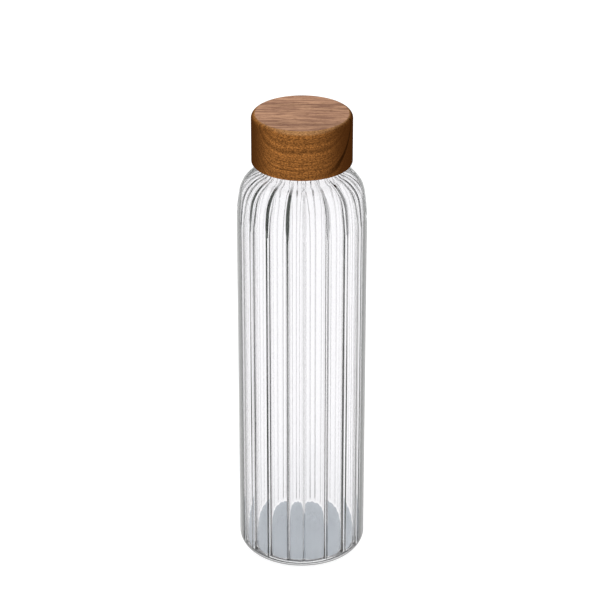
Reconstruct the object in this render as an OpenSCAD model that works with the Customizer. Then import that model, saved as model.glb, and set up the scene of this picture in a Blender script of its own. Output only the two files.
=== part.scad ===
// Fluted glass water bottle with a turned wooden screw cap.
// Millimetres, +Z up, origin at the centre of the base. The cap is screwed down.

/* [Bottle] */
// Outer diameter of the body
body_d = 65; // [63:0.5:68]
// Height of the bottle with its cap screwed down
total_h = 242; // [215:1:270]
// Glass thickness in the middle of a flute
wall_t = 1.5; // [1.4:0.1:2]
// Glass thickness of the base
base_t = 5; // [4:0.5:6]
// Radius of the outer corner around the base
foot_r = 7; // [6:0.5:8]
// Depth of the hollow under the base
punt_h = 1; // [0.5:0.1:1.5]

/* [Shoulder] */
// Radius of the long curve where the wall starts to lean in
flank_r = 100; // [80:5:120]
// Angle that the long curve turns through
flank_a = 9; // [7:0.5:10]
// Radius of the tight curve over the shoulder
crown_r = 14; // [13.5:0.1:14.5]
// Radius of the hollow curve between shoulder and neck
throat_r = 4.5; // [4:0.1:5]

/* [Flutes] */
// Number of flutes around the inside of the body
flute_n = 20; // [14:1:24]
// Direction of one rib, as an angle around the axis from +X
rib_a = 6; // [0:1:18]
// How far each rib between two flutes stands inwards
rib_h = 1.3; // [0.8:0.1:1.6]
// How far each rib still stands inwards where the neck begins
rib_neck_h = 0.5; // [0.2:0.1:0.8]

/* [Neck] */
// Outer diameter of the neck
neck_d = 37; // [36.5:0.1:37.2]
// Diameter of the mouth
mouth_d = 32; // [31:0.5:32.5]
// Height of bare neck between the shoulder and the cap
neck_gap = 4.5; // [4:0.5:6]
// Radius of the rounded rim
rim_r = 1.1; // [0.8:0.1:1.2]

/* [Screw thread] */
// Rise of the thread in one turn
pitch = 4.5; // [4.2:0.1:5]
// Height of the glass thread above the neck
glass_ridge_h = 1.2; // [1:0.1:1.3]
// Turns of thread on the neck
glass_turns = 1.25; // [1:0.05:1.5]
// Height of the cap's thread above its bore
cap_ridge_h = 1.1; // [1:0.1:1.2]
// Turns of thread in the cap
cap_turns = 1.05; // [0.9:0.05:1.2]

/* [Cap] */
// Outer diameter of the wooden cap
cap_d = 50; // [49.5:0.1:51]
// Height of the wooden cap
cap_h = 25.5; // [25:0.5:27]
// Thickness of the wood over the top
cap_top_t = 4; // [3.8:0.1:4.2]
// Radius of the cap's upper outer edge
cap_edge_r = 2.2; // [1:0.1:2.5]
// Radius of the cap's lower outer edge
cap_hem_r = 0.8; // [0.5:0.1:1]

/* [Insert and seal] */
// Outer diameter of the threaded insert, glued into the wood
insert_d = 43; // [42.8:0.1:43.2]
// Thickness of the insert's top
insert_top_t = 1.2; // [1:0.1:1.4]
// How far the insert's lower edge stands back inside the wood
insert_recess = 1; // [0.8:0.1:1.2]
// Thickness of the silicone ring
seal_t = 2; // [1.8:0.1:2.2]

/* [Hidden] */
$fn = 128;

body_r = body_d / 2;
neck_r = neck_d / 2;
mouth_r = mouth_d / 2;
cap_r = cap_d / 2;
insert_r = insert_d / 2;

// Heights along the axis
cap_z = total_h - cap_h;
ceiling_z = total_h - cap_top_t;
plate_z = ceiling_z - insert_top_t;
seal_z = plate_z - seal_t;
seal_gap = 0.05;
rim_z = seal_z - seal_gap;
insert_z = cap_z + insert_recess;

// Centres of the shoulder's two curves, which meet at the knee
crown_z = cap_z - neck_gap - crown_r;
knee_z = crown_z + crown_r * sin(flank_a);
knee_r = body_r - flank_r * (1 - cos(flank_a));
crown_x = knee_r - crown_r * cos(flank_a);
flank_z = knee_z - flank_r * sin(flank_a);

// The hollow corner touches the crown and the neck
throat_x = neck_r + throat_r;
throat_run = throat_x - crown_x;
throat_rise = sqrt(pow(crown_r + throat_r, 2) - throat_run * throat_run);
throat_z = crown_z + throat_rise;
throat_a = atan2(throat_rise, throat_run);

// Inside of the glass, measured at the bottoms of the flutes
flute_r = body_r - wall_t;
floor_r = 3;
neck_wall_t = neck_r - mouth_r;
bore_play = 0.06;

// Thread: the cap's ridge lies under the glass ridge, with room between their flanks
bore_r = neck_r + glass_ridge_h + 0.4;
ridge_root_w = 2.2;
ridge_crest_w = 1;
ridge_sink = 0.3;
glass_thread_z = insert_z + 4.2;
cap_thread_drop = 1.7;
cap_thread_lag = 72;
bead_h = 0.6;
bead_t = 0.7;

// Points on an arc about [x, z], from angle a to angle b in n steps
function arc(x, z, r, a, b, n) =
    [for (i = [0:n]) let (t = a + (b - a) * i / n) [x + r * cos(t), z + r * sin(t)]];

// Cavity outline from the floor up to the neck, each point with the rib height there
function with_rib(points, h0, h1) =
    let (last = len(points) - 1)
    [for (i = [0:last]) [points[i][0], points[i][1], h0 + (h1 - h0) * i / last]];

function cavity_outline() = concat(
    with_rib(arc(flute_r - floor_r, base_t + floor_r, floor_r, 270, 360, 5), 0, rib_h),
    with_rib(arc(body_r - flank_r, flank_z, flank_r - wall_t, 0, flank_a, 2), rib_h, rib_h),
    with_rib(arc(crown_x, crown_z, crown_r - neck_wall_t, flank_a + 6, throat_a, 6), rib_h, rib_neck_h),
    with_rib(arc(throat_x, throat_z, throat_x - mouth_r - bore_play, 176 + throat_a, 180, 3),
             rib_neck_h, 0));

// One ring of the cavity: shallow hollow flutes that meet in ribs
flute_steps = 4;
function flute_ring(p) =
    [for (k = [0:flute_n * flute_steps - 1])
        let (a = rib_a + 360 * k / (flute_n * flute_steps))
        let (u = 2 * (k % flute_steps) / flute_steps - 1)
        let (r = p[0] - p[2] * u * u)
        [r * cos(a), r * sin(a), p[1]]];

// Solid through a stack of rings, each with n points, closed at both ends
module ring_stack(rings) {
    n = len(rings[0]);
    last = len(rings) - 1;
    points = [for (ring = rings) for (p = ring) p];
    sides = [for (i = [0:last - 1]) for (k = [0:n - 1])
        let (a = i * n + k, b = i * n + (k + 1) % n)
        each [[a, b + n, b], [a, a + n, b + n]]];
    floor_face = [for (k = [0:n - 1]) k];
    roof_face = [for (k = [n - 1:-1:0]) last * n + k];
    polyhedron(points, concat(sides, [floor_face], [roof_face]));
}

// Screw ridge that fades out at both ends, swept as a trapezoid up a helix
module screw_ridge(root_r, crest_r, turns, start_z, start_a) {
    side = sign(crest_r - root_r);
    steps = ceil(turns * 40);
    fade = 5;
    sunk_r = root_r - side * ridge_sink;
    sections = [for (i = [0:steps])
        let (a = start_a + 360 * turns * i / steps)
        let (z = start_z + pitch * turns * i / steps)
        let (f = min(1, i / fade, (steps - i) / fade))
        let (tip_r = sunk_r + (crest_r - sunk_r) * max(f, 0.1))
        [for (q = [[sunk_r, -ridge_root_w], [tip_r, -ridge_crest_w],
                   [tip_r, ridge_crest_w], [sunk_r, ridge_root_w]])
            [q[0] * cos(a), q[0] * sin(a), z + q[1] / 2]]];
    ring_stack(side > 0 ? [for (s = sections) [s[3], s[2], s[1], s[0]]] : sections);
}

module bottle_outline() {
    square([body_r - foot_r, 2 * foot_r]);
    translate([body_r - foot_r, foot_r]) circle(foot_r);
    translate([0, foot_r]) square([body_r, flank_z - foot_r]);
    intersection() {
        translate([body_r - flank_r, flank_z]) circle(flank_r, $fn = 720);
        translate([0, flank_z]) square([body_r, knee_z - flank_z]);
    }
    intersection() {
        translate([crown_x, crown_z]) circle(crown_r);
        translate([0, knee_z]) square([body_r, crown_r]);
    }
    square([crown_x, crown_z + crown_r]);
    difference() {
        translate([0, throat_z - throat_r * 2]) square([throat_x, throat_r * 2]);
        translate([throat_x, throat_z]) circle(throat_r);
    }
    translate([0, throat_z]) square([neck_r, rim_z - rim_r - throat_z]);
    square([neck_r - rim_r, rim_z]);
    translate([neck_r - rim_r, rim_z - rim_r]) circle(rim_r);
}

module glass_bottle() {
    punt_r = body_r - foot_r - 4;
    punt_ball_r = (punt_r * punt_r + punt_h * punt_h) / (2 * punt_h);
    color("lightcyan", 0.4) {
        difference() {
            rotate_extrude() bottle_outline();
            ring_stack([for (p = cavity_outline()) flute_ring(p)]);
            translate([0, 0, throat_z - 0.5]) cylinder(r = mouth_r, h = total_h);
            translate([0, 0, punt_h - punt_ball_r]) sphere(punt_ball_r, $fn = 360);
        }
        screw_ridge(neck_r, neck_r + glass_ridge_h, glass_turns, glass_thread_z, 0);
    }
}

module wood_cap() {
    color("saddlebrown")
        rotate_extrude() difference() {
            translate([0, cap_z]) union() {
                square([cap_r - cap_edge_r, cap_h]);
                translate([0, cap_hem_r]) square([cap_r, cap_h - cap_hem_r - cap_edge_r]);
                translate([cap_r - cap_edge_r, cap_h - cap_edge_r]) circle(cap_edge_r);
                translate([cap_r - cap_hem_r, cap_hem_r]) circle(cap_hem_r);
            }
            translate([0, cap_z - 1]) square([insert_r, ceiling_z - cap_z + 1]);
        }
}

module thread_insert() {
    color("whitesmoke") {
        rotate_extrude() {
            translate([0, plate_z]) square([insert_r, insert_top_t]);
            translate([bore_r, insert_z]) square([insert_r - bore_r, ceiling_z - insert_z]);
            // Small bead that keeps the silicone ring up against the top
            translate([bore_r - bead_h, seal_z - bead_t - seal_gap]) square([bead_h + 0.5, bead_t]);
        }
        screw_ridge(bore_r, bore_r - cap_ridge_h, cap_turns,
                    glass_thread_z - cap_thread_drop - pitch * cap_thread_lag / 360, -cap_thread_lag);
    }
}

module sealing_ring() {
    color("gainsboro")
        rotate_extrude() translate([mouth_r - 0.4, seal_z])
            square([bore_r - 0.15 - mouth_r + 0.4, seal_t - seal_gap]);
}

glass_bottle();
wood_cap();
thread_insert();
sealing_ring();
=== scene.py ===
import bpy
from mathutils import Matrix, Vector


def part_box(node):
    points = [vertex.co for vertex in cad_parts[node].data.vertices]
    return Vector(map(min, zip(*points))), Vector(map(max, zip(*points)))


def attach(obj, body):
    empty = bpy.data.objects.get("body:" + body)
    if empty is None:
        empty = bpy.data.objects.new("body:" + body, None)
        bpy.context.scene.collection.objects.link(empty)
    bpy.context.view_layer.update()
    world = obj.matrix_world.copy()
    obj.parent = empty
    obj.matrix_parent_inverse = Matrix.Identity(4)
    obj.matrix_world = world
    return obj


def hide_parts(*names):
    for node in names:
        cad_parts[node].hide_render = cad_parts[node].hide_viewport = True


bl_info = {
    "name": "Fluted Glass Bottle",
    "version": (1, 0, 0),
    "blender": (4, 5, 0),
    "location": "3D View > Sidebar > Bottle",
    "description": "Builds a fluted glass water bottle with a turned wooden screw cap",
    "category": "Add Mesh",
}

import math

import bpy
from bpy.props import FloatProperty, FloatVectorProperty, IntProperty, PointerProperty
from bpy.types import Operator, Panel, PropertyGroup

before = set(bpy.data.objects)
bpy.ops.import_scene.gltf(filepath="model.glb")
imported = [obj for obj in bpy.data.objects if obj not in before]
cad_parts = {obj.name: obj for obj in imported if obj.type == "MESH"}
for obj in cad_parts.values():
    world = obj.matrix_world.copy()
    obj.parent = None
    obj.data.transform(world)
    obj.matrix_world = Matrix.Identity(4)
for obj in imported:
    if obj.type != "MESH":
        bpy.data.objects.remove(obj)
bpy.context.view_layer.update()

MM = 0.001
GLASS_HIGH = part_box("glass_bottle")[1]
CAP_LOW, CAP_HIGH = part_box("wood_cap")
INSERT_LOW, INSERT_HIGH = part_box("thread_insert")
SEAL_LOW, SEAL_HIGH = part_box("sealing_ring")

# Vertices that are closer than this become one
WELD = 2e-6

# The screw: the ridge on the neck and the one inside the insert, which runs under it
THREAD_PITCH = 4.5 * MM
NECK_RADIUS = 18.5 * MM
NECK_THREAD_Z = CAP_LOW[2] + 5.2 * MM
NECK_THREAD_TURNS = 1.25
INSERT_THREAD_Z = NECK_THREAD_Z - 2.6 * MM
INSERT_THREAD_ANGLE = math.radians(-72)
INSERT_THREAD_TURNS = 1.05

# The groove in front of every rib: its depth as a share of the radius, its lower end, and how far
# under its upper end it turns twice as wide and deep
GROOVE_DEPTH = 0.021
GROOVE_LOW = 6.9 * MM
GROOVE_WIDE = 26 * MM

# Columns of faces in one flute
COLUMNS = 24
# Blown glass is a little uneven. For every rib from the first one on: how many columns it stands
# off an even spacing, and how dark the painted shade line in its groove is, from 0 to 1
RIB_SHIFTS = (-5, -1, 2, 5, 1, 1, -1, 2, -2, 1, -2, 1, 2, -1, 1, 0, -2, -5, -3, -1)
RIB_SHADES = (
    0.25, 0.75, 1.00, 1.00, 0.70, 0.50, 0.60, 0.45, 0.70, 0.40,
    0.55, 0.45, 0.65, 0.50, 0.75, 0.60, 1.00, 1.00, 1.00, 1.00,
)

TABLE_RADIUS = 8
TABLE_DROP = 0.05 * MM
CAMERA_LENS = 155.8
AIM_SIDE = -0.00098
AIM_HEIGHT = 0.1403


# --- Sizes and colours -------------------------------------------------------


class GlassSettings(PropertyGroup):
    flutes: IntProperty(name="Flutes", description="Flutes around the inside", default=20, min=8)
    first_rib: FloatProperty(
        name="First rib",
        description="Direction of one rib, measured around the axis from +X",
        default=math.radians(-84.0), subtype="ANGLE",
    )
    wall: FloatProperty(
        name="Wall", description="Glass thickness in the middle of a flute",
        default=1.3 * MM, unit="LENGTH",
    )
    rib: FloatProperty(
        name="Rib height", description="How far a rib stands inwards, as a share of the radius",
        default=0.040, min=0.0, max=0.1,
    )
    base: FloatProperty(
        name="Base", description="Glass thickness of the base", default=5.0 * MM, unit="LENGTH",
    )
    thread: FloatProperty(
        name="Thread", description="Height of the ridge on the neck",
        default=1.2 * MM, unit="LENGTH",
    )
    tint: FloatVectorProperty(
        name="Tint", description="Colour of light that went through the wall",
        default=(0.910, 0.907, 0.918), subtype="COLOR", min=0, max=1,
    )
    # Painted shade: the outer skin takes this colour where it is seen edge on and along the rib
    # grooves, standing in for dark surroundings seen through the glass.
    edge_shade: FloatVectorProperty(
        name="Edge tint", description="Colour of the glass where it is seen edge on",
        default=(0.010, 0.012, 0.010), subtype="COLOR", min=0, max=1,
    )
    # Painted shade: this grey-blue on the floor inside the bottle stands in for the shadow under the
    # bottle seen through the base.
    floor_shade_tint: FloatVectorProperty(
        name="Base tint", description="Colour of the ground glass floor inside the bottle",
        default=(0.285, 0.335, 0.39), subtype="COLOR", min=0, max=1,
    )


class CapSettings(PropertyGroup):
    edge: FloatProperty(
        name="Edge", description="Rounding of the upper edge", default=2.4 * MM, unit="LENGTH",
    )
    hem: FloatProperty(
        name="Hem", description="Rounding of the lower edge", default=0.8 * MM, unit="LENGTH",
    )
    top: FloatProperty(
        name="Top", description="Wood left above the hole", default=4.0 * MM, unit="LENGTH",
    )
    side_colour: FloatVectorProperty(
        name="Side", description="Wood along the grain", default=(0.385, 0.150, 0.036),
        subtype="COLOR", min=0, max=1,
    )
    # Painted light: the top is paler and pinker than the side, standing in for light and sheen from
    # above on its flat face.
    top_lit_colour: FloatVectorProperty(
        name="Face", description="Wood on the flat top", default=(0.560, 0.320, 0.200),
        subtype="COLOR", min=0, max=1,
    )
    # Also the colour of the painted shade on the sides and toward the right.
    end_colour: FloatVectorProperty(
        name="End grain", description="Wood across the grain", default=(0.050, 0.015, 0.003),
        subtype="COLOR", min=0, max=1,
    )


class FittingSettings(PropertyGroup):
    wall: FloatProperty(
        name="Insert wall", description="Wall of the threaded insert",
        default=1.4 * MM, unit="LENGTH",
    )
    plate: FloatProperty(
        name="Insert plate", description="Plate of the insert above the ring",
        default=1.2 * MM, unit="LENGTH",
    )
    thread: FloatProperty(
        name="Insert thread", description="Height of the ridge inside the insert",
        default=1.1 * MM, unit="LENGTH",
    )
    plastic: FloatVectorProperty(
        name="Plastic", description="Colour of the insert", default=(0.80, 0.79, 0.75),
        subtype="COLOR", min=0, max=1,
    )
    silicone: FloatVectorProperty(
        name="Silicone", description="Colour of the sealing ring", default=(0.70, 0.72, 0.72),
        subtype="COLOR", min=0, max=1,
    )


class StageSettings(PropertyGroup):
    light: FloatProperty(
        name="Light", description="Strength of the even studio light", default=0.95, min=0,
    )
    table: FloatProperty(
        name="Table", description="Light given off by the table itself", default=0.85, min=0,
    )
    pitch: FloatProperty(
        name="Pitch", description="Angle at which the camera looks down",
        default=math.radians(26.39), subtype="ANGLE",
    )
    distance: FloatProperty(
        name="Distance", description="From the camera to the bottle", default=1.310,
        unit="LENGTH",
    )


# --- Modelling helpers -------------------------------------------------------


def arc(x, z, radius, start, end, steps):
    """Points on an arc about (x, z), with the angles in degrees."""
    turns = [math.radians(start + (end - start) * i / max(steps, 1)) for i in range(steps + 1)]
    return [(x + radius * math.cos(t), z + radius * math.sin(t)) for t in turns]


def line(start, end, steps):
    """Points along a straight line, both ends included."""
    return [
        (start[0] + (end[0] - start[0]) * i / steps, start[1] + (end[1] - start[1]) * i / steps)
        for i in range(steps + 1)
    ]


def joined(*stretches):
    """One outline out of several, without points that repeat."""
    points = []
    for stretch in stretches:
        for point in stretch:
            if not points or math.dist(points[-1], point) > 1e-7:
                points.append(point)
    return points


def pick(piece, test, kind="VERT"):
    """Selects, in edit mode, the vertices or faces of a piece that pass the test."""
    bpy.ops.mesh.select_mode(type=kind)
    bpy.ops.mesh.select_all(action="DESELECT")
    bpy.ops.object.mode_set(mode="OBJECT")
    items = piece.data.vertices if kind == "VERT" else piece.data.polygons
    found = 0
    for item in items:
        item.select = bool(test(item))
        found += item.select
    bpy.ops.object.mode_set(mode="EDIT")
    if not found:
        raise RuntimeError(f"nothing was selected on {piece.name}")


def drawn_outline(name, points):
    """Draws an outline in the XZ plane, point by point, and stays in edit mode."""
    bpy.ops.object.select_all(action="DESELECT")
    bpy.ops.mesh.primitive_plane_add(size=MM)
    piece = bpy.context.object
    piece.name = piece.data.name = name
    bpy.ops.object.mode_set(mode="EDIT")
    bpy.ops.mesh.select_all(action="SELECT")
    bpy.ops.mesh.merge(type="CENTER")
    x, z = points[0]
    bpy.ops.transform.translate(value=(x, 0, z))
    for (x0, z0), (x1, z1) in zip(points, points[1:]):
        bpy.ops.mesh.extrude_region_move(
            TRANSFORM_OT_translate={"value": (x1 - x0, 0, z1 - z0)}
        )
    return piece


def turned(name, points, steps, angle=math.tau):
    """A piece turned about the Z axis from an outline, still in edit mode."""
    piece = drawn_outline(name, points)
    bpy.ops.mesh.select_all(action="SELECT")
    bpy.ops.mesh.spin(steps=steps, angle=angle, center=(0, 0, 0), axis=(0, 0, 1))
    return piece


def finish_mesh(piece, smooth_angle):
    """Merges doubles, points the faces outwards, shades smooth and leaves edit mode."""
    bpy.ops.mesh.select_all(action="SELECT")
    bpy.ops.mesh.remove_doubles(threshold=WELD)
    bpy.ops.mesh.normals_make_consistent(inside=False)
    bpy.ops.object.mode_set(mode="OBJECT")
    bpy.ops.object.shade_smooth_by_angle(angle=math.radians(smooth_angle))
    return piece


def smooth(share):
    """Eases a share between 0 and 1 in and out."""
    share = min(max(share, 0), 1)
    return share * share * (3 - 2 * share)


def raise_thread(piece, radius, height, start_z, start_angle, turns):
    """Raises a right-handed screw ridge on the round wall of a piece."""
    crest, foot, fade, tolerance = 0.35 * MM, 1.15 * MM, 0.06, 0.03 * MM
    ridge = piece.vertex_groups.new(name="thread")
    for vertex in piece.data.vertices:
        x, y, z = vertex.co
        if abs(math.hypot(x, y) - radius) > tolerance:
            continue
        share = ((math.atan2(y, x) - start_angle) / math.tau) % 1
        turn = share + round((z - start_z) / THREAD_PITCH - share)
        off = abs(z - start_z - turn * THREAD_PITCH)
        ends = smooth(min(turn, turns - turn) / fade)
        weight = ends * smooth((foot - off) / (foot - crest))
        if weight > 0:
            ridge.add([vertex.index], weight, "REPLACE")
    modifier = piece.modifiers.new("thread", "DISPLACE")
    modifier.vertex_group = ridge.name
    modifier.mid_level = 0
    modifier.strength = height
    bpy.ops.object.modifier_apply(modifier=modifier.name)
    piece.vertex_groups.clear()


def declare(piece, body, slot, *nodes):
    """Parents a piece to the empty of the body it rides on and hides the nodes it replaces; the slot is
    not used.
    """
    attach(piece, body)
    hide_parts(*nodes)


# --- Material helpers --------------------------------------------------------


def new_material(name):
    """A new material, with its node tree and its shader."""
    material = bpy.data.materials.new(name)
    material.use_nodes = True
    return material, material.node_tree, material.node_tree.nodes["Principled BSDF"]


def put(tree, kind, inputs=(), **options):
    """Adds a node, sets its options and sets or links its inputs."""
    made = tree.nodes.new("ShaderNode" + kind)
    for key, value in options.items():
        setattr(made, key, value)
    for key, value in dict(inputs).items():
        if isinstance(value, bpy.types.NodeSocket):
            tree.links.new(value, made.inputs[key])
        else:
            made.inputs[key].default_value = value
    return made.outputs[0]


def calc(tree, operation, a, b=0.0):
    """Works out a number from one or two others."""
    return put(tree, "Math", {0: a, 1: b}, operation=operation)


def between(tree, value, low, high, start=0.0, end=1.0):
    """Eases a value from start to end while it goes from low to high."""
    levels = {"Value": value, "From Min": low, "From Max": high, "To Min": start, "To Max": end}
    return put(tree, "MapRange", levels, interpolation_type="SMOOTHSTEP")


def blend(tree, share, a, b, mode="MIX"):
    """Mixes two colours."""
    made = tree.nodes.new("ShaderNodeMix")
    made.data_type = "RGBA"
    made.blend_type = mode
    for place, value in ((0, share), (6, a), (7, b)):
        if isinstance(value, bpy.types.NodeSocket):
            tree.links.new(value, made.inputs[place])
        elif place:
            made.inputs[place].default_value = (*tuple(value)[:3], 1)
        else:
            made.inputs[place].default_value = value
    return made.outputs[2]


def toned(colour, factor):
    """A colour made darker or lighter."""
    return [c * factor for c in colour]


def coordinates(tree, kind):
    """X, Y and Z of the point, or of the surface's direction, in the piece's own space."""
    parts = tree.nodes.new("ShaderNodeSeparateXYZ")
    tree.links.new(tree.nodes.new("ShaderNodeTexCoord").outputs[kind], parts.inputs[0])
    return parts.outputs


def noted(tree, name):
    """The number that every vertex carries under this name."""
    made = tree.nodes.new("ShaderNodeAttribute")
    made.attribute_name = name
    return made.outputs["Fac"]


def stretched(tree, scale):
    """Object coordinates, stretched along the axes."""
    place = tree.nodes.new("ShaderNodeTexCoord").outputs["Object"]
    return put(tree, "Mapping", {"Vector": place, "Scale": scale})


def noise(tree, scale, detail, roughness=0.5):
    """Noise over the object coordinates, with its scale along each axis counted to the metre."""
    inputs = {
        "Vector": stretched(tree, scale), "Scale": 1.0, "Detail": detail, "Roughness": roughness,
    }
    return put(tree, "TexNoise", inputs)


# --- Glass -------------------------------------------------------------------


def bottle_outline(glass):
    """Outer and inner outline of the bottle, from under its middle round to its floor."""
    radius, rim = GLASS_HIGH[0], GLASS_HIGH[2]
    foot, flank, crown, throat = 7 * MM, 100 * MM, 14 * MM, 4.5 * MM
    neck, mouth, edge = NECK_RADIUS, 16 * MM, 1.1 * MM
    thread_low, thread_high = NECK_THREAD_Z - 1.4 * MM, NECK_THREAD_Z + 7 * MM
    below_cap = 4.5 * MM
    lean = 9.0
    crown_z = CAP_LOW[2] - below_cap - crown
    knee_z = crown_z + crown * math.sin(math.radians(lean))
    knee_r = radius - flank * (1 - math.cos(math.radians(lean)))
    crown_r = knee_r - crown * math.cos(math.radians(lean))
    flank_z = knee_z - flank * math.sin(math.radians(lean))
    throat_r = neck + throat
    throat_z = crown_z + math.sqrt((crown + throat) ** 2 - (throat_r - crown_r) ** 2)
    turn = math.degrees(math.atan2(throat_z - crown_z, throat_r - crown_r))
    punt_r, punt_h = radius - foot - 4 * MM, 1 * MM
    outside = joined(
        [(punt_r * i / 6, punt_h * (1 - (i / 6) ** 2)) for i in range(7)],
        [(radius - foot, 0)],
        arc(radius - foot, foot, foot, -90, 0, 12),
        line((radius, foot), (radius, flank_z), 6),
        arc(radius - flank, flank_z, flank, 0, lean, 5),
        arc(crown_r, crown_z, crown, lean, turn, 12),
        arc(throat_r, throat_z, throat, 180 + turn, 180, 8),
        line((neck, throat_z), (neck, thread_low), 2),
        line((neck, thread_low), (neck, thread_high), 34),
        line((neck, thread_high), (neck, rim - edge), 2),
        arc(neck - edge, rim - edge, edge, 0, 90, 5),
    )
    inner_r = radius - glass.wall
    inner_foot = 1.7 * MM

    def shoulder(x, z, bend, start, end, steps, share, share_end):
        """Inner side of one curve of the shoulder, while the wall grows thicker upwards."""
        points = []
        for i in range(steps + 1):
            part = smooth(share + (share_end - share) * i / steps)
            thick = glass.wall + (neck - mouth - glass.wall) * part
            points += arc(x, z, bend - thick, start + (end - start) * i / steps, 0, 0)
        return points

    inside = joined(
        arc(mouth + edge, rim - edge, edge, 90, 180, 5),
        line((mouth, rim - edge), (mouth, throat_z), 4),
        arc(throat_r, throat_z, throat_r - mouth, 180, 180 + turn, 8),
        shoulder(crown_r, crown_z, crown, turn, lean, 12, 1, 0.5),
        shoulder(radius - flank, flank_z, flank, lean, 0, 6, 0.5, 0),
        line((inner_r, flank_z), (inner_r, glass.base + inner_foot), 16),
        arc(inner_r - inner_foot, glass.base + inner_foot, inner_foot, 0, -90, 6),
        line((inner_r - inner_foot, glass.base), (0, glass.base), 6),
    )
    return outside, inside, throat_z


def rib_rise(u):
    """Height of the inner wall, from 0 in the middle of a flute (u = 0) to 1 on a rib (u = 1)."""
    roundness = 0.93
    return (1 - math.sqrt(1 - (roundness * u) ** 2)) / (1 - math.sqrt(1 - roundness**2))


def fluted_skin(glass, inside, bore_z):
    """Inner wall of one flute, hollowed column by column, then repeated around the axis."""
    sector = math.tau / glass.flutes
    flute_width = sector * 30 * MM
    piece = turned("inner_skin", inside, COLUMNS, sector)
    fade = 4 * MM
    levels = sorted({round(z, 7) for r, z in inside if bore_z - fade < z < bore_z})
    for column in range(COLUMNS // 2):
        rise = glass.rib * rib_rise(1 - 2 * column / COLUMNS)
        ends = (sector * column / COLUMNS, sector * (COLUMNS - column) / COLUMNS)

        def on_column(vertex):
            turn = abs(math.atan2(vertex.co.y, vertex.co.x))
            return min(abs(turn - end) for end in ends) < 0.1 * sector / COLUMNS

        pick(piece, lambda v: v.co.z <= bore_z - fade and on_column(v))
        bpy.ops.transform.resize(value=(1 - rise, 1 - rise, 1), center_override=(0, 0, 0))
        for level in levels:
            size = 1 - rise * (bore_z - level) / fade
            pick(piece, lambda v: abs(v.co.z - level) < 1e-6 and on_column(v))
            bpy.ops.transform.resize(value=(size, size, 1), center_override=(0, 0, 0))
    bpy.ops.mesh.select_all(action="SELECT")
    bpy.ops.mesh.spin(
        steps=glass.flutes, angle=math.tau, dupli=True, center=(0, 0, 0), axis=(0, 0, 1)
    )
    bpy.ops.mesh.select_all(action="SELECT")
    bpy.ops.mesh.remove_doubles(threshold=WELD)
    for number, columns in enumerate(RIB_SHIFTS):
        turn = sector * number
        ahead = (math.cos(turn), math.sin(turn))
        pick(piece, lambda v: v.co.x * ahead[0] + v.co.y * ahead[1] > 0
             and abs(v.co.y * ahead[0] - v.co.x * ahead[1]) < 0.1 * MM)
        bpy.ops.transform.rotate(
            value=-columns * sector / COLUMNS, orient_axis="Z", center_override=(0, 0, 0),
            use_proportional_edit=True, proportional_edit_falloff="LINEAR",
            proportional_size=flute_width,
        )
    bpy.ops.object.mode_set(mode="OBJECT")
    return piece


def ribs_at(glass):
    """Direction of every rib before the bottle is turned, in degrees."""
    sector = 360 / glass.flutes
    return [sector * (i + RIB_SHIFTS[i % len(RIB_SHIFTS)] / COLUMNS) for i in range(glass.flutes)]


def from_rib(x, y, ribs):
    """Angle between a point and the nearest rib, in degrees, and that rib's number."""
    turn = math.degrees(math.atan2(y, x))
    return min((abs((turn - rib + 180) % 360 - 180), i) for i, rib in enumerate(ribs))


def crease(piece, glass, low, high):
    """Presses a V-shaped groove into the outer skin in front of every rib, wider near its top."""
    ribs = ribs_at(glass)
    step = 360 / glass.flutes / COLUMNS
    wide_z = high - GROOVE_WIDE
    size = 1 - GROOVE_DEPTH
    bpy.ops.object.mode_set(mode="EDIT")
    for start_z, column in ((low, 0), (wide_z, 0), (wide_z, 1)):
        pick(piece, lambda v: start_z < v.co.z < high
             and abs(from_rib(v.co.x, v.co.y, ribs)[0] - column * step) < 0.1 * step)
        bpy.ops.transform.resize(value=(size, size, 1), center_override=(0, 0, 0))
    bpy.ops.object.mode_set(mode="OBJECT")


def mark_ribs(piece, glass):
    """Notes for every vertex how many columns it lies from a rib, and how dark that rib's painted shade
    line is.
    """
    ribs = [rib + math.degrees(glass.first_rib) for rib in ribs_at(glass)]
    away = piece.data.attributes.new("away_from_rib", "FLOAT", "POINT")
    shade = piece.data.attributes.new("rib_shade", "FLOAT", "POINT")
    for vertex in piece.data.vertices:
        angle, number = from_rib(vertex.co.x, vertex.co.y, ribs)
        away.data[vertex.index].value = angle * glass.flutes * COLUMNS / 360
        shade.data[vertex.index].value = RIB_SHADES[number % len(RIB_SHADES)]


def glass_mesh(glass):
    """The bottle: a round outer skin with fine grooves, a fluted inner one, the floor and the ridge."""
    floor_slot = 2
    outside, inside, bore_z = bottle_outline(glass)
    outer = turned("glass_bottle_fluted", outside, COLUMNS * glass.flutes)
    crease(outer, glass, GROOVE_LOW, bore_z)
    outer.data.materials.append(glass_material("clear_glass_outside", glass, False))
    inner = fluted_skin(glass, inside, bore_z)
    inner.data.materials.append(glass_material("clear_glass_fluted", glass, True))
    bpy.ops.object.select_all(action="DESELECT")
    inner.select_set(True)
    outer.select_set(True)
    bpy.context.view_layer.objects.active = outer
    bpy.ops.object.join()
    outer.data.materials.append(floor_glass(glass))
    bpy.ops.object.mode_set(mode="EDIT")
    bpy.ops.mesh.select_all(action="SELECT")
    bpy.ops.transform.rotate(
        value=-glass.first_rib, orient_axis="Z", center_override=(0, 0, 0)
    )
    pick(outer, lambda f: abs(f.center.z - glass.base) < 1e-5, "FACE")
    outer.active_material_index = floor_slot
    bpy.ops.object.material_slot_assign()
    bpy.ops.mesh.select_mode(type="VERT")
    finish_mesh(outer, 35)
    mark_ribs(outer, glass)
    raise_thread(outer, NECK_RADIUS, glass.thread, NECK_THREAD_Z, 0.0, NECK_THREAD_TURNS)
    return outer


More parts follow.
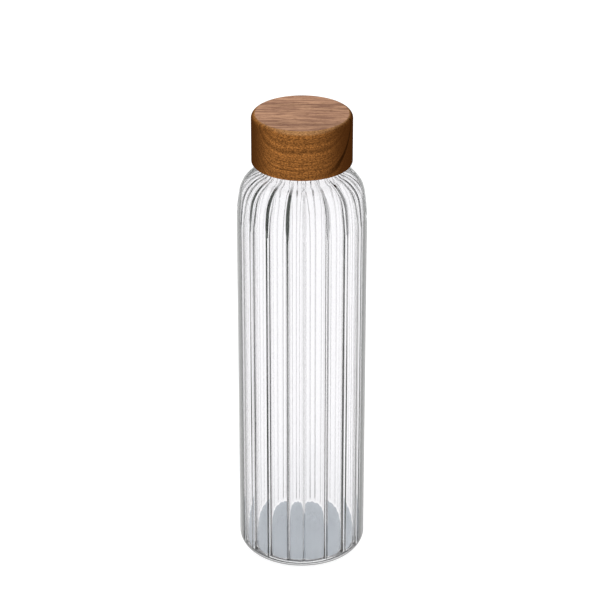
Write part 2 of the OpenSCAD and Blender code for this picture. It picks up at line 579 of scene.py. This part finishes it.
def painted_rib_shade(tree, height):
    """How dark the painted shade line in every groove is: wider on the shoulder, gone at the foot and
    the neck.
    """
    width = between(tree, height, 0.186, 0.196, 1.0, 2.0)
    columns = calc(tree, "DIVIDE", noted(tree, "away_from_rib"), width)
    near = between(tree, columns, 1.0, 1.35, 1.0, 0.0)
    near = calc(tree, "MULTIPLY", near, between(tree, height, 0.004, 0.0055))
    near = calc(tree, "MULTIPLY", near, between(tree, height, 0.209, 0.214, 1.0, 0.0))
    uneven = between(tree, noise(tree, (40, 40, 9), detail=1), 0.3, 0.6, 0.8, 1.0)
    shade = calc(tree, "MULTIPLY", noted(tree, "rib_shade"), uneven)
    return calc(tree, "MULTIPLY", near, shade)


def set_glass(shader, roughness, ior, transmission):
    """Makes a shader glass."""
    shader.inputs["Roughness"].default_value = roughness
    shader.inputs["IOR"].default_value = ior
    shader.inputs["Transmission Weight"].default_value = transmission


def glass_material(name, glass, fluted):
    """Clear glass; on the outer skin, painted shade darkens it edge on and in the groove in front of
    every rib.
    """
    material, tree, shader = new_material(name)
    height = coordinates(tree, "Object")["Z"]
    streaks = between(tree, noise(tree, (420, 420, 3), detail=2), 0.35, 0.70)
    tint = blend(tree, streaks, toned(glass.tint, 0.97), glass.tint)
    # Painted light: the tint fades to white near the foot, so the rim looks brighter.
    foot_painted_light = between(tree, height, 0.003, 0.0055, 1.0, 0.0)
    tint = blend(tree, foot_painted_light, tint, (1, 1, 1))
    if not fluted:
        # Painted shade: edge on and along the rib grooves the outer skin is darkened toward the edge
        # shade colour.
        facing = tree.nodes.new("ShaderNodeLayerWeight").outputs["Facing"]
        edge_on_shade = between(tree, facing, 0.58, 0.71)
        dark = calc(tree, "MAXIMUM", painted_rib_shade(tree, height), edge_on_shade)
        tint = blend(tree, dark, tint, glass.edge_shade)
    tree.links.new(tint, shader.inputs["Base Color"])
    set_glass(shader, roughness=0.0, ior=1.5, transmission=1.0)
    return material


def floor_glass(glass):
    """Ground glass of the floor inside the bottle; its grey-blue is painted shade for the shadow under
    the bottle seen through the base, painted a little darker toward its rim.
    """
    material, tree, shader = new_material("floor_glass_painted_shade")
    cloud = noise(tree, (60, 60, 60), detail=4)
    from_axis = tree.nodes.new("ShaderNodeVectorMath")
    from_axis.operation = "LENGTH"
    tree.links.new(stretched(tree, (1, 1, 0)), from_axis.inputs[0])
    # Painted shade: the floor's colour is made a little darker toward its rim.
    rim = between(tree, from_axis.outputs["Value"], 0.018, 0.026)
    low = toned(glass.floor_shade_tint, 0.94)
    high = [min(c, 1) for c in toned(glass.floor_shade_tint, 1.06)]
    middle = blend(tree, cloud, low, high)
    outer = blend(tree, cloud, toned(low, 0.92), toned(high, 0.92))
    tree.links.new(blend(tree, rim, middle, outer), shader.inputs["Base Color"])
    set_glass(shader, roughness=0.1, ior=1.47, transmission=0.85)
    return material


# --- Wooden cap --------------------------------------------------------------


def cap_mesh(cap):
    """The turned cap, bored out from below."""
    radius, top, bottom = CAP_HIGH[0], CAP_HIGH[2], CAP_LOW[2]
    bore = INSERT_HIGH[0]
    ease = 0.3 * MM
    points = joined(
        line((0, top), (radius - cap.edge, top), 4),
        arc(radius - cap.edge, top - cap.edge, cap.edge, 90, 0, 10),
        line((radius, top - cap.edge), (radius, bottom + cap.hem), 3),
        arc(radius - cap.hem, bottom + cap.hem, cap.hem, 0, -90, 6),
        line((radius - cap.hem, bottom), (bore + ease, bottom), 1),
        line((bore + ease, bottom), (bore, bottom + ease), 1),
        line((bore, bottom + ease), (bore, top - cap.top), 3),
        line((bore, top - cap.top), (0, top - cap.top), 2),
    )
    return finish_mesh(turned("wood_cap_turned", points, 160), 30)


def ring_height(tree, y, z):
    """Where a point lies among the growth rings: nearly level in front of the pith, then steeper."""
    ahead = calc(tree, "ADD", calc(tree, "MINIMUM", y, 0.0), 0.025)
    sag = calc(tree, "MULTIPLY", calc(tree, "MULTIPLY", ahead, ahead), 70.0)
    bend = calc(tree, "MULTIPLY", noise(tree, (25, 70, 70), detail=3), 0.005)
    return calc(tree, "ADD", calc(tree, "SUBTRACT", z, sag), bend)


def side_wood(tree, cap, normal, upward):
    """Colour of the cap's side: growth rings, specks, a vein, darker ends and right side that are
    partly the wood and partly painted shade, and a painted highlight on the upper edge.
    """
    x, y, z = coordinates(tree, "Object")
    sideways = calc(tree, "ABSOLUTE", normal["X"])
    ring_at = ring_height(tree, y, z)
    levels = {
        "W": calc(tree, "MULTIPLY", ring_at, 520), "Scale": 1.0, "Detail": 4.0, "Roughness": 0.65,
    }
    rings = between(tree, put(tree, "TexNoise", levels, noise_dimensions="1D"), 0.34, 0.66)
    specks = between(tree, noise(tree, (1100, 2300, 2300), detail=2), 0.38, 0.62)
    # Darker toward the right: partly the wood's darker heart, partly painted shade of the side turned
    # from the light.
    heart_and_shade = between(tree, x, 0.000, 0.021)
    # Darker where the side faces along X: partly end grain, partly painted shade on the sides.
    end_grain_and_shade = between(tree, sideways, 0.50, 1.0)
    off_vein = calc(tree, "ABSOLUTE", calc(tree, "SUBTRACT", ring_at, 0.2213))
    vein = calc(tree, "MULTIPLY", between(tree, off_vein, 0.0006, 0.0022, 1.0, 0.0),
                between(tree, x, 0.010, 0.020))
    # Painted highlight along the rounded upper edge, strongest in front and behind and broken up by the
    # specks.
    edge_highlight = calc(tree, "MULTIPLY", between(tree, normal["Z"], 0.15, 0.65),
                       calc(tree, "SUBTRACT", 1.0, upward))
    highlight_spread = calc(tree, "MULTIPLY", between(tree, specks, 0, 1, 0.55, 1.0),
                between(tree, sideways, 0.10, 0.60, 0.60, 0.0))

    side = blend(tree, rings, toned(cap.side_colour, 0.66), toned(cap.side_colour, 1.22))
    side = blend(tree, specks, blend(tree, 0.68, side, (0.03, 0.01, 0.003)), side)
    side = blend(tree, calc(tree, "MULTIPLY", heart_and_shade, 0.78), side, cap.end_colour)
    side = blend(tree, calc(tree, "MULTIPLY", end_grain_and_shade, 0.92), side, cap.end_colour)
    side = blend(tree, calc(tree, "MULTIPLY", vein, 0.9), side, toned(cap.end_colour, 0.4))
    return blend(tree, calc(tree, "MULTIPLY", edge_highlight, highlight_spread), side, (0.66, 0.36, 0.16))


def top_wood(tree, cap, fibres):
    """Colour of the cap's flat top: fibres in broad bands on a colour painted pale for light and sheen
    from above, and paler toward the back, partly the wood's own tone and partly painted light.
    """
    y = coordinates(tree, "Object")["Y"]
    dark = [c * k for c, k in zip(cap.top_lit_colour, (0.52, 0.48, 0.52))]
    top = blend(tree, fibres, dark, cap.top_lit_colour)
    tone_and_light = between(tree, noise(tree, (10, 130, 130), detail=2), 0.35, 0.65, 0.86, 1.08)
    # Paler toward the back: partly the wood's own tone, partly painted light.
    tone_and_light = calc(tree, "MULTIPLY", tone_and_light, between(tree, y, 0.006, 0.022, 1.0, 1.18))
    tone_and_light = put(tree, "CombineColor", {0: tone_and_light, 1: tone_and_light, 2: tone_and_light})
    return blend(tree, 1.0, top, tone_and_light, "MULTIPLY")


def acacia(cap):
    """Oiled acacia with its grain along X: streaks, growth rings, pores and dark end grain, with
    painted light on the top and its edge and painted shade on the sides.
    """
    material, tree, shader = new_material("acacia_oiled")
    normal = coordinates(tree, "Normal")
    upward = between(tree, normal["Z"], 0.965, 0.995)
    fibres = between(tree, noise(tree, (60, 900, 900), detail=5, roughness=0.66), 0.42, 0.58)
    pores = between(tree, noise(tree, (420, 2300, 2300), detail=1), 0.60, 0.68)
    side, top = side_wood(tree, cap, normal, upward), top_wood(tree, cap, fibres)
    # Painted light: the flat top takes the paler top colour.
    colour = blend(tree, upward, side, top)
    colour = blend(tree, calc(tree, "MULTIPLY", pores, 0.4), colour, toned(cap.side_colour, 0.25))
    tree.links.new(colour, shader.inputs["Base Color"])
    tree.links.new(between(tree, fibres, 0, 1, 0.58, 0.44), shader.inputs["Roughness"])
    relief = calc(tree, "SUBTRACT", fibres, pores)
    bump = put(tree, "Bump", {"Height": relief, "Strength": 0.25, "Distance": 0.1 * MM})
    tree.links.new(bump, shader.inputs["Normal"])
    shader.inputs["Specular IOR Level"].default_value = 0.0
    return material


# --- Insert and sealing ring -------------------------------------------------


def insert_mesh(fitting):
    """The insert, with a bead that holds the ring and the ridge inside it."""
    radius, top, bottom = INSERT_HIGH[0], INSERT_HIGH[2], INSERT_LOW[2]
    bore = radius - fitting.wall
    ceiling = top - fitting.plate
    bead_z, bead = SEAL_LOW[2] - 0.4 * MM, 0.6 * MM
    thread_high = INSERT_THREAD_Z + 7.2 * MM
    ease = 0.3 * MM
    points = joined(
        line((0, top), (radius - ease, top), 4),
        line((radius - ease, top), (radius, top - ease), 1),
        line((radius, top - ease), (radius, bottom + ease), 2),
        line((radius, bottom + ease), (radius - ease, bottom), 1),
        line((radius - ease, bottom), (bore + ease, bottom), 1),
        line((bore + ease, bottom), (bore, bottom + ease), 1),
        line((bore, bottom + ease), (bore, thread_high), 36),
        line((bore, thread_high), (bore, bead_z - bead), 2),
        line((bore, bead_z - bead / 2), (bore - bead, bead_z), 2),
        line((bore - bead, bead_z), (bore, bead_z + bead / 2), 2),
        line((bore, bead_z + bead / 2), (bore, ceiling), 2),
        line((bore, ceiling), (0, ceiling), 4),
    )
    piece = finish_mesh(turned("thread_insert_moulded", points, 192), 40)
    raise_thread(
        piece, bore, fitting.thread, INSERT_THREAD_Z, INSERT_THREAD_ANGLE, INSERT_THREAD_TURNS
    )
    return piece


def ring_mesh():
    """The sealing ring, with rounded edges."""
    inner, outer, low, high = 15.6 * MM, SEAL_HIGH[0], SEAL_LOW[2], SEAL_HIGH[2]
    edge = 0.4 * MM
    points = joined(
        line((inner, high - edge), (inner, low + edge), 2),
        arc(inner + edge, low + edge, edge, 180, 270, 5),
        line((inner + edge, low), (outer - edge, low), 3),
        arc(outer - edge, low + edge, edge, -90, 0, 5),
        line((outer, low + edge), (outer, high - edge), 2),
        arc(outer - edge, high - edge, edge, 0, 90, 5),
        line((outer - edge, high), (inner + edge, high), 3),
        arc(inner + edge, high - edge, edge, 90, 180, 5),
    )
    return finish_mesh(turned("sealing_ring_moulded", points, 128), 50)


def moulded(name, colour, roughness, grain):
    """A moulded plastic or rubber with slight clouds and a fine skin."""
    material, tree, shader = new_material(name)
    cloud = noise(tree, (120, 120, 120), detail=3)
    mottled = blend(tree, cloud, toned(colour, 0.88), colour)
    tree.links.new(mottled, shader.inputs["Base Color"])
    skin = noise(tree, (grain, grain, grain), detail=3)
    rough = between(tree, skin, 0.2, 0.8, roughness - 0.08, roughness + 0.08)
    tree.links.new(rough, shader.inputs["Roughness"])
    bump = put(tree, "Bump", {"Height": skin, "Strength": 0.2, "Distance": 0.05 * MM})
    tree.links.new(bump, shader.inputs["Normal"])
    return material


# --- Operators ---------------------------------------------------------------


class BOTTLE_OT_glass(Operator):
    """Builds the fluted glass bottle with the ridge on its neck"""
    bl_idname = "bottle.glass"
    bl_label = "Glass bottle"

    def execute(self, context):
        piece = glass_mesh(context.scene.bottle_glass)
        declare(piece, "bottle", "clear_glass", "glass_bottle")
        return {"FINISHED"}


class BOTTLE_OT_cap(Operator):
    """Builds the turned wooden cap"""
    bl_idname = "bottle.cap"
    bl_label = "Wooden cap"

    def execute(self, context):
        cap = context.scene.bottle_cap
        piece = cap_mesh(cap)
        piece.data.materials.append(acacia(cap))
        declare(piece, "cap", "acacia", "wood_cap")
        return {"FINISHED"}


class BOTTLE_OT_insert(Operator):
    """Builds the threaded insert inside the cap"""
    bl_idname = "bottle.insert"
    bl_label = "Threaded insert"

    def execute(self, context):
        fitting = context.scene.bottle_fitting
        piece = insert_mesh(fitting)
        piece.data.materials.append(moulded("insert_polypropylene", fitting.plastic, 0.45, 900))
        declare(piece, "cap", "insert_plastic", "thread_insert")
        return {"FINISHED"}


class BOTTLE_OT_ring(Operator):
    """Builds the sealing ring between the rim and the insert"""
    bl_idname = "bottle.ring"
    bl_label = "Sealing ring"

    def execute(self, context):
        piece = ring_mesh()
        colour = context.scene.bottle_fitting.silicone
        piece.data.materials.append(moulded("silicone_translucent", colour, 0.6, 1500))
        declare(piece, "seal", "silicone", "sealing_ring")
        return {"FINISHED"}


class BOTTLE_OT_stage(Operator):
    """Sets up the table, the light and the camera"""
    bl_idname = "bottle.stage"
    bl_label = "Stage"

    def execute(self, context):
        stage = context.scene.bottle_stage
        bpy.ops.object.select_all(action="DESELECT")
        bpy.ops.mesh.primitive_circle_add(
            vertices=96, radius=TABLE_RADIUS, fill_type="NGON", location=(0, 0, -TABLE_DROP)
        )
        table = context.object
        table.name = "table"
        material, tree, shader = new_material("table_white")
        shader.inputs["Base Color"].default_value = (0.40, 0.40, 0.40, 1)
        shader.inputs["Roughness"].default_value = 1.0
        shader.inputs["Specular IOR Level"].default_value = 0.0
        shader.inputs["Emission Color"].default_value = (1, 1, 1, 1)
        shader.inputs["Emission Strength"].default_value = stage.table
        table.data.materials.append(material)
        world = bpy.data.worlds.new("studio")
        context.scene.world = world
        world.use_nodes = True
        background = world.node_tree.nodes["Background"]
        background.inputs["Color"].default_value = (1, 1, 1, 1)
        background.inputs["Strength"].default_value = stage.light
        bpy.ops.object.camera_add(
            location=(AIM_SIDE, -stage.distance * math.cos(stage.pitch),
                      AIM_HEIGHT + stage.distance * math.sin(stage.pitch)),
            rotation=(math.pi / 2 - stage.pitch, 0, 0),
        )
        camera = context.object
        camera.data.lens = CAMERA_LENS
        camera.data.clip_start = 0.05
        context.scene.camera = camera
        context.scene.view_settings.view_transform = "Standard"
        return {"FINISHED"}


class BOTTLE_PT_panel(Panel):
    """Lists the settings and the pieces of the bottle"""
    bl_idname = "BOTTLE_PT_panel"
    bl_label = "Fluted Glass Bottle"
    bl_space_type = "VIEW_3D"
    bl_region_type = "UI"
    bl_category = "Bottle"

    def draw(self, context):
        for name in SETTINGS:
            settings = getattr(context.scene, name)
            box = self.layout.box()
            for key in settings.bl_rna.properties.keys():
                if key not in {"rna_type", "name"}:
                    box.prop(settings, key)
        for operator in OPERATORS:
            self.layout.operator(operator.bl_idname)


OPERATORS = (BOTTLE_OT_glass, BOTTLE_OT_cap, BOTTLE_OT_insert, BOTTLE_OT_ring, BOTTLE_OT_stage)
SETTINGS = {
    "bottle_glass": GlassSettings,
    "bottle_cap": CapSettings,
    "bottle_fitting": FittingSettings,
    "bottle_stage": StageSettings,
}
CLASSES = (*SETTINGS.values(), *OPERATORS, BOTTLE_PT_panel)


def register():
    for cls in CLASSES:
        bpy.utils.register_class(cls)
    for name, cls in SETTINGS.items():
        setattr(bpy.types.Scene, name, PointerProperty(type=cls))


def unregister():
    for name in SETTINGS:
        delattr(bpy.types.Scene, name)
    for cls in reversed(CLASSES):
        bpy.utils.unregister_class(cls)


def main():
    register()
    bpy.ops.bottle.glass()
    bpy.ops.bottle.cap()
    bpy.ops.bottle.insert()
    bpy.ops.bottle.ring()
    bpy.ops.bottle.stage()


if __name__ == "__main__":
    main()
